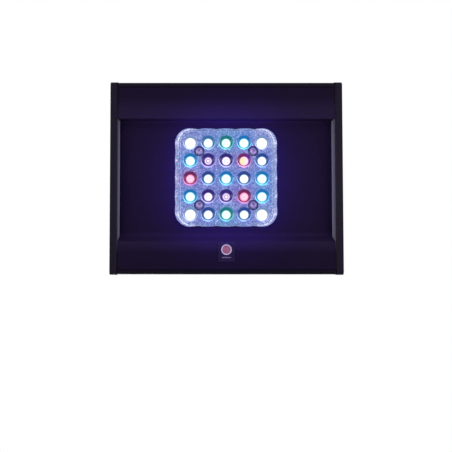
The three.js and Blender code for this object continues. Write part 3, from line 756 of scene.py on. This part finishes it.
def add_lens_block():
    clear = lens_glow("clear_lens")
    body = add_piece("lens_block", block_body(), [clear], ["lens_array"])
    result = cut(body, block_hollows())
    body.data = result
    result.name = "lens_block"
    result.materials.clear()
    result.materials.append(clear)
    result.materials.append(well_dark("lens_well"))
    for polygon in result.polygons:
        polygon.material_index = 1 if is_well(polygon.center / MM) else 0
    finish_mesh(result, 40)
    colour_block(result)
    return body


def add_optics():
    """The lens in each dish: a sloping ring round a low dome."""
    looks = {look: optic_glow(look) for look in OPTICS}
    outer = DISH_RADIUS - 0.05
    profile = [  # z from the block's face
        (outer, DISH_DEPTH + 0.05),
        (outer, 0.9),
        (outer - 0.3, 0.8),
        (outer - 0.75, 1.2),
        (CORE_RADIUS + 0.35, 1.9),
        (CORE_RADIUS, 1.95),
        (CORE_RADIUS - 0.4, 1.5),
        (CORE_RADIUS * 0.75, 1.05),
        (CORE_RADIUS * 0.5, 0.75),
        (CORE_RADIUS * 0.2, 0.6),
    ]
    optics = []
    for (row, column), place in led_places.items():
        look = LED_LOOKS[row - 1][column - 1]
        bm = bmesh.new()
        lathe(bm, profile, 40)
        spot = Matrix.Translation((place.x * MM, place.y * MM, LENS_FRONT * MM))
        optics.append(add_piece(f"optic_{row}_{column}", bm, [looks[look]], place=spot))
    return optics


# ---- Screws ----
def screw_rings(length):
    """A socket screw whose head's face is at z = 0, with its shank towards -Z."""
    head, height, shank, socket, round_off = 2.8, 2.0, 1.5, 1.35, 0.5
    return [
        (shank * 0.7, -length),
        (shank, -length + 0.5),
        (shank, -height),
        (head, -height),
        (head, -round_off),
        (head - 0.3 * round_off, -0.3 * round_off),
        (head - round_off, 0),
        (socket + 0.35, 0),
        (socket + 0.05, -0.15),
        (socket, -0.2, True),
        (socket, -1.1, True),
        (0.2, -1.3),
    ]


def add_screw(name, node, axis, material):
    """Replaces a CAD screw. The axis points out of its head."""
    low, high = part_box(node)
    out = Vector(axis)
    centre = (low + high) / 2
    reach = (high - low).dot(Vector([abs(c) for c in axis]))
    bm = bmesh.new()
    lathe(bm, screw_rings(reach / MM), 48)
    place = facing(centre + out * reach / 2, out)
    return add_piece(name, bm, [material], [node], place=place)


def add_screws(bright, black):
    """All 16 screws. Gives back the four that show between the lenses."""
    shown = []
    for i in range(1, 5):
        name = f"lens_screw_{i}"
        shown.append(add_screw(f"{name}_detail", name, (0, 0, -1), bright))
        add_screw(f"fan_screw_{i}_detail", f"fan_screw_{i}", (0, 0, 1), bright)
        for side, sign in (("left", -1), ("right", 1)):
            node = f"cap_screw_{side}_{i}"
            add_screw(f"{node}_detail", node, (sign, 0, 0), black)
    return shown


# ---- Inlet ----
def add_inlet(material):
    """A panel-mount power socket: a barrel with a lip, a bore and a centre pin."""
    low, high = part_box("dc_inlet")
    centre = (low + high) / 2
    length = (high.x - low.x) / MM
    lip = (high.y - low.y) / 2 / MM
    bore, depth, pin = 3.2, 10.0, 1.0
    rings = [
        (lip - 1.6, -length),
        (lip - 1.1, -length + 0.5),
        (lip - 1.1, -1.4),
        (lip, -1.4),
        (lip, -0.4),
        (lip - 0.4, 0),
        (bore + 0.5, 0),
        (bore, -0.5),
        (bore, -depth),
        (pin, -depth),
        (pin, -depth + 2.6),
        (pin * 0.6, -depth + 3),
    ]
    bm = bmesh.new()
    lathe(bm, rings, 56)
    place = facing(Vector((high.x, centre.y, centre.z)), Vector((1, 0, 0)))
    add_piece("dc_inlet_detail", bm, [material], ["dc_inlet"], place=place)


# ---- Badge ----
def badge_ring(radius, inner, height):
    """A rounded ring whose face is at z = 0."""
    profile = [
        (inner, -height),
        (radius, -height),
        (radius, -0.45),
        (radius - 0.15, -0.15),
        (radius - 0.45, 0),
        (inner + 0.45, -0.02),
        (inner + 0.1, -0.25),
        (inner, -0.55),
    ]
    sides = 64
    bm = bmesh.new()
    loops = [[(x, y, z) for x, y in ring_points(r, sides)] for r, z in profile]
    rows = skin_loops(bm, loops, closed=False)
    for i in range(sides):
        j = (i + 1) % sides
        bm.faces.new((rows[-1][i], rows[-1][j], rows[0][j], rows[0][i]))
    return bm


def badge_dome(inner, height):
    """A low dome that fills the ring."""
    profile = [
        (inner - 0.05, -height),
        (inner - 0.05, -0.6),
        (inner * 0.85, -0.42),
        (inner * 0.6, -0.28),
        (inner * 0.3, -0.2),
        (inner * 0.08, -0.18),
    ]
    bm = bmesh.new()
    lathe(bm, profile, 64)
    return bm


def badge_bar():
    """A blank bar with soft edges."""
    bm = bmesh.new()
    bmesh.ops.create_cube(bm, size=1)
    bmesh.ops.scale(bm, vec=(7.6, 0.9, 0.24), verts=bm.verts)
    bmesh.ops.bevel(bm, geom=bm.edges, offset=0.1, segments=2, profile=0.5, affect="EDGES")
    return bm


def add_badge(plate, ring, rose, mark):
    """A plain black plate with a generic domed disc in a pale ring and a blank bar under it.

    Gives back the ring, the disc and the bar.
    """
    low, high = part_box("badge_disc")
    centre = (low + high) / 2
    radius = (high.x - low.x) / 2 / MM - BADGE_EDGE
    height = (high.z - low.z) / MM
    inner = radius - 1.1
    disc = Matrix.Translation((centre.x, centre.y, low.z)) @ Matrix.Rotation(math.pi, 4, "X")
    bm = badge_ring(radius, inner, height)
    ring_piece = add_piece("badge_ring", bm, [ring], ["badge_disc"], place=disc)
    bm = badge_dome(inner, height)
    centre_piece = add_piece("badge_centre", bm, [rose], place=disc)
    give(["badge_plate"], plate)
    soften("badge_plate", 0.3, 3)
    plate_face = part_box("badge_plate")[0].z
    bar = Matrix.Translation((0, centre.y - (radius + 2.0) * MM, plate_face - 0.02 * MM))
    bar_piece = add_piece("badge_bar", badge_bar(), [mark], place=bar)
    return [ring_piece, centre_piece, bar_piece]


# ---- Fan ----
def blade_loop(radius, share):
    """One section of a blade: a thin cambered strip, wider and flatter towards the tip."""
    chord = 9.0 + 6.0 * share
    pitch = math.radians(38 - 14 * share)
    lean = 0.30 * share**1.5
    steps = 7
    upper, lower = [], []
    for i in range(steps + 1):
        t = i / steps
        run = (t - 0.5) * chord
        camber = 0.09 * chord * (1 - (2 * t - 1) ** 2)
        thick = 0.2 + 0.45 * math.sin(math.pi * t) ** 0.6
        for row, side in ((upper, 1), (lower, -1)):
            height = camber + side * thick
            across = run * math.cos(pitch) - height * math.sin(pitch)
            z = run * math.sin(pitch) + height * math.cos(pitch)
            angle = lean + across / radius
            row.append((radius * math.cos(angle), radius * math.sin(angle), z))
    return upper + lower[::-1]


def hub_rings(top, bottom):
    """A cup on a shaft, open below, with a rounded edge and a shallow groove on its face."""
    wall, shaft = 2.0, 1.5
    return [
        (shaft * 0.6, bottom),
        (shaft, bottom + 0.4),
        (shaft, top - wall),
        (HUB_RADIUS - wall, top - wall),
        (HUB_RADIUS - wall, bottom),
        (HUB_RADIUS, bottom),
        (HUB_RADIUS, top - 1.2),
        (HUB_RADIUS - 0.35, top - 0.35),
        (HUB_RADIUS - 1.2, top),
        (HUB_RADIUS - 5.6, top),
        (HUB_RADIUS - 5.8, top - 0.25),
        (HUB_RADIUS - 6.2, top - 0.25),
        (HUB_RADIUS - 6.4, top),
        (0.5, top),
    ]


def add_rotor(material):
    """A hub with a rounded crown and swept, twisted blades."""
    low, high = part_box("fan_rotor")
    top = high.z / MM
    bottom = low.z / MM
    middle = (top + bottom) / 2
    root = HUB_RADIUS - 0.8
    tip = (high.x - low.x) / 2 / MM - 0.3
    sections = 9
    bm = bmesh.new()
    lathe(bm, hub_rings(top, bottom), 64)
    for number in range(BLADES):
        turn = Matrix.Rotation(2 * math.pi * number / BLADES, 3, "Z")
        loops = []
        for k in range(sections):
            share = k / (sections - 1)
            radius = root + (tip - root) * share
            loop = [turn @ Vector(point) for point in blade_loop(radius, share)]
            loops.append([(x, y, z + middle) for x, y, z in loop])
        skin_loops(bm, loops)
    add_piece("fan_rotor_detail", bm, [material], ["fan_rotor"], body="rotor")


# ---- Stage ----
def add_camera():
    data = bpy.data.cameras.new("camera")
    data.sensor_width = 36.0
    data.lens = CAMERA_LENS
    data.shift_x, data.shift_y = CAMERA_SHIFT
    camera = bpy.data.objects.new("camera", data)
    bpy.context.scene.collection.objects.link(camera)
    camera.location = (*CAMERA_OFFSET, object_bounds()[0].z - CAMERA_DISTANCE)
    turn = Matrix.Rotation(math.pi, 4, "Y") @ Matrix.Rotation(CAMERA_TILT, 4, "X")
    camera.rotation_euler = turn.to_euler()
    bpy.context.scene.camera = camera


def add_floor():
    """A pale floor just under the light. It is clear from below, where the camera is."""
    mesh = bpy.data.meshes.new("floor")
    reach = 4.0
    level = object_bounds()[0].z - FLOOR_GAP
    corners = [(-reach, -reach), (reach, -reach), (reach, reach), (-reach, reach)]
    mesh.from_pydata([(x, y, level) for x, y in corners], [], [(0, 1, 2, 3)])
    floor = bpy.data.objects.new("floor", mesh)
    bpy.context.scene.collection.objects.link(floor)
    material, tree, shader = new_material("studio_floor")
    shine = {"Emission Color": (1, 1, 1, 1), "Emission Strength": 0.22}
    set_inputs(shader, {"Base Color": (0.86, 0.86, 0.87, 1), "Roughness": 0.6, **shine})
    clear = tree.nodes.new("ShaderNodeBsdfTransparent")
    side_seen = tree.nodes.new("ShaderNodeNewGeometry")
    mix = tree.nodes.new("ShaderNodeMixShader")
    tree.links.new(side_seen.outputs["Backfacing"], mix.inputs["Fac"])
    tree.links.new(shader.outputs["BSDF"], mix.inputs[1])
    tree.links.new(clear.outputs["BSDF"], mix.inputs[2])
    tree.links.new(mix.outputs["Shader"], tree.nodes["Material Output"].inputs["Surface"])
    mesh.materials.append(material)
    floor.visible_shadow = False
    floor.visible_diffuse = False
    floor.visible_glossy = False
    floor.visible_transmission = False


def add_world():
    """A white backdrop, with soft light from above and a faint violet light from below."""
    world = bpy.data.worlds.new("studio")
    bpy.context.scene.world = world
    world.use_nodes = True
    tree = world.node_tree
    height = tree.nodes.new("ShaderNodeMapRange")
    height.inputs["From Min"].default_value = -1.0
    tree.links.new(one_coordinate(tree, "Z", "Generated"), height.inputs["Value"])
    soft = [  # from straight down to straight up
        (0.0, (0.18, 0.08, 0.54)),
        (0.1, (0.18, 0.08, 0.50)),
        (0.26, (0.195, 0.185, 0.21)),
        (0.55, (0.55, 0.55, 0.56)),
        (1.0, (0.8, 0.8, 0.8)),
    ]
    lit = ramp(tree, height.outputs["Result"], soft)
    seen = tree.nodes.new("ShaderNodeLightPath")
    colour = mix_colours(tree, seen.outputs["Is Camera Ray"], lit, (1.0, 1.0, 1.0))
    tree.links.new(colour, tree.nodes["Background"].inputs["Color"])


def add_lamp(name, place, size, watts, colour=(1, 1, 1), spread_angle=math.pi):
    """A rectangular area lamp aimed at the light."""
    data = bpy.data.lights.new(name, "AREA")
    data.shape = "RECTANGLE"
    data.size, data.size_y = size
    data.energy = watts
    data.color = colour
    data.spread = spread_angle
    lamp = bpy.data.objects.new(name, data)
    bpy.context.scene.collection.objects.link(lamp)
    lamp.location = place
    lamp.rotation_euler = (-Vector(place)).to_track_quat("-Z", "Y").to_euler()
    lamp.visible_camera = False
    return lamp


def add_studio_lamps():
    violet = (0.72, 0.58, 1.0)
    cool = (0.92, 0.86, 1.0)
    add_lamp("key_above", (0.35, -0.55, 0.75), (0.6, 0.6), 9)
    add_lamp("fill_above", (-0.6, 0.3, 0.7), (0.8, 0.8), 5)
    add_lamp("below_rear", (0.0, 0.45, -0.5), (0.7, 0.4), 1.0, violet)
    add_lamp("below_left", (-0.5, 0.0, -0.35), (0.3, 0.6), 1.1, cool)
    add_lamp("below_right", (0.5, 0.0, -0.35), (0.3, 0.6), 1.1, cool)


def add_spill(spared):
    """The emitters' violet light that falls back on the recess. It passes by the spared pieces."""
    blue = (0.18, 0.08, 1.0)
    place = (0.0, 0.0, -SPILL_SIZE)
    size = (SPILL_SIZE, SPILL_SIZE)
    lamp = add_lamp("spill", place, size, SPILL_WATTS, blue, SPILL_SPREAD)
    passed = bpy.data.collections.new("passed_by_spill")
    for piece in spared:
        passed.objects.link(piece)
    lamp.light_linking.receiver_collection = passed
    for item in passed.collection_objects:
        item.light_linking.link_state = "EXCLUDE"


# ---- Assembly ----
# Painted light and shade on the light panel: paler by the recess and darker towards the outer
# edges as a painted reflection, a darker recess as painted shade, and a paler strip as painted
# light on the recess's rear wall.
PANEL_PAINTED_LIGHT = [  # Y in millimetres, shade
    (-84.0, 0.55),
    (-64.0, 0.55),
    (-56.0, 0.95),
    (-50.0, 0.95),
    (-47.0, 0.62),
    (47.0, 0.62),
    (49.6, 0.8),
    (50.4, 1.25),
    (52.0, 1.0),
    (60.0, 0.9),
    (70.0, 0.5),
    (84.0, 0.5),
]


def finish_cad_nodes():
    black = anodised("black_anodised", (0.009, 0.009, 0.0093), 0.42, 0.12)
    # The end caps' pale strip in the recess is painted light.
    cap = cap_with_painted_light("cap_anodised", (0.015, 0.0145, 0.016), (0.40, 0.415, 0.37))
    # The panel's paler violet base colour is painted light from the emitters, and its bands add
    # painted light and shade.
    panel = panel_with_painted_light("panel_anodised_painted_light", (0.032, 0.022, 0.049), 0.5, 0.07, PANEL_PAINTED_LIGHT)
    give(["top_cover", "vent_grille"], black)
    give(["light_panel"], panel)
    give(["end_cap_left", "end_cap_right"], cap)
    for name, width in (("top_cover", 0.2), ("light_panel", 0.2), ("vent_grille", 0.12)):
        soften(name, width)
    for name in ("end_cap_left", "end_cap_right"):
        soften(name, 0.35, 3)
    give(["lens_gasket"], grained("black_rubber", (0.02, 0.02, 0.022), 0.8))
    give(["led_board"], circuit_board("white_board", (0.75, 0.76, 0.78), (0.5, 0.5, 0.46)))
    give(["thermal_pad"], grained("grey_pad", (0.24, 0.26, 0.28), 0.85))
    give(["heat_sink"], brushed("raw_aluminium", (0.60, 0.61, 0.63), 0.35))
    give(["fan_frame"], plastic)
    copper = grained("stator_copper", (0.45, 0.16, 0.06), 0.35, metallic=0.9, grain=5000)
    give(["fan_stator"], copper)
    give(["driver_board"], circuit_board("green_board", (0.01, 0.11, 0.04), (0.03, 0.2, 0.08)))
    give(["inlet_lead", "fan_lead"], grained("lead_black", (0.015, 0.015, 0.017), 0.5))
    domes = {
        "white": (0.9, 0.95, 1.0),
        "blue": (0.08, 0.45, 1.0),
        "royal": (0.25, 0.45, 1.0),
        "violet": (0.45, 0.35, 1.0),
        "green": (0.04, 0.7, 0.35),
        "red": (1.0, 0.15, 0.25),
        "amber": (1.0, 0.5, 0.15),
    }
    glows = {colour: emitter_dome(f"led_{colour}", value) for colour, value in domes.items()}
    for row, column in led_places:
        look = LED_LOOKS[row - 1][column - 1]
        give([f"led_{row}_{column}"], glows[EMITTER_OF.get(look, look)])


plastic = grained("black_plastic", (0.012, 0.012, 0.014), 0.45)
add_camera()
add_floor()
add_world()
add_studio_lamps()
bpy.context.scene.view_settings.view_transform = "Standard"

finish_cad_nodes()
block = add_lens_block()
optics = add_optics()
lens_screws = add_screws(
    brushed("bright_screw", (0.66, 0.66, 0.70), 0.4, (1, 1, 1)),
    grained("black_screw", (0.02, 0.02, 0.022), 0.35, metallic=0.6),
)
add_inlet(plastic)
badge = add_badge(
    grained("badge_black", (0.014, 0.013, 0.020), 0.3),
    grained("badge_ring", (0.95, 0.88, 0.88), 0.3, grain=1500),
    grained("badge_rose", (0.55, 0.24, 0.24), 0.35, grain=700),
    grained("badge_grey", (0.24, 0.23, 0.25), 0.4, grain=1500),
)
add_spill([block, *optics, *lens_screws, *badge])
add_rotor(plastic)
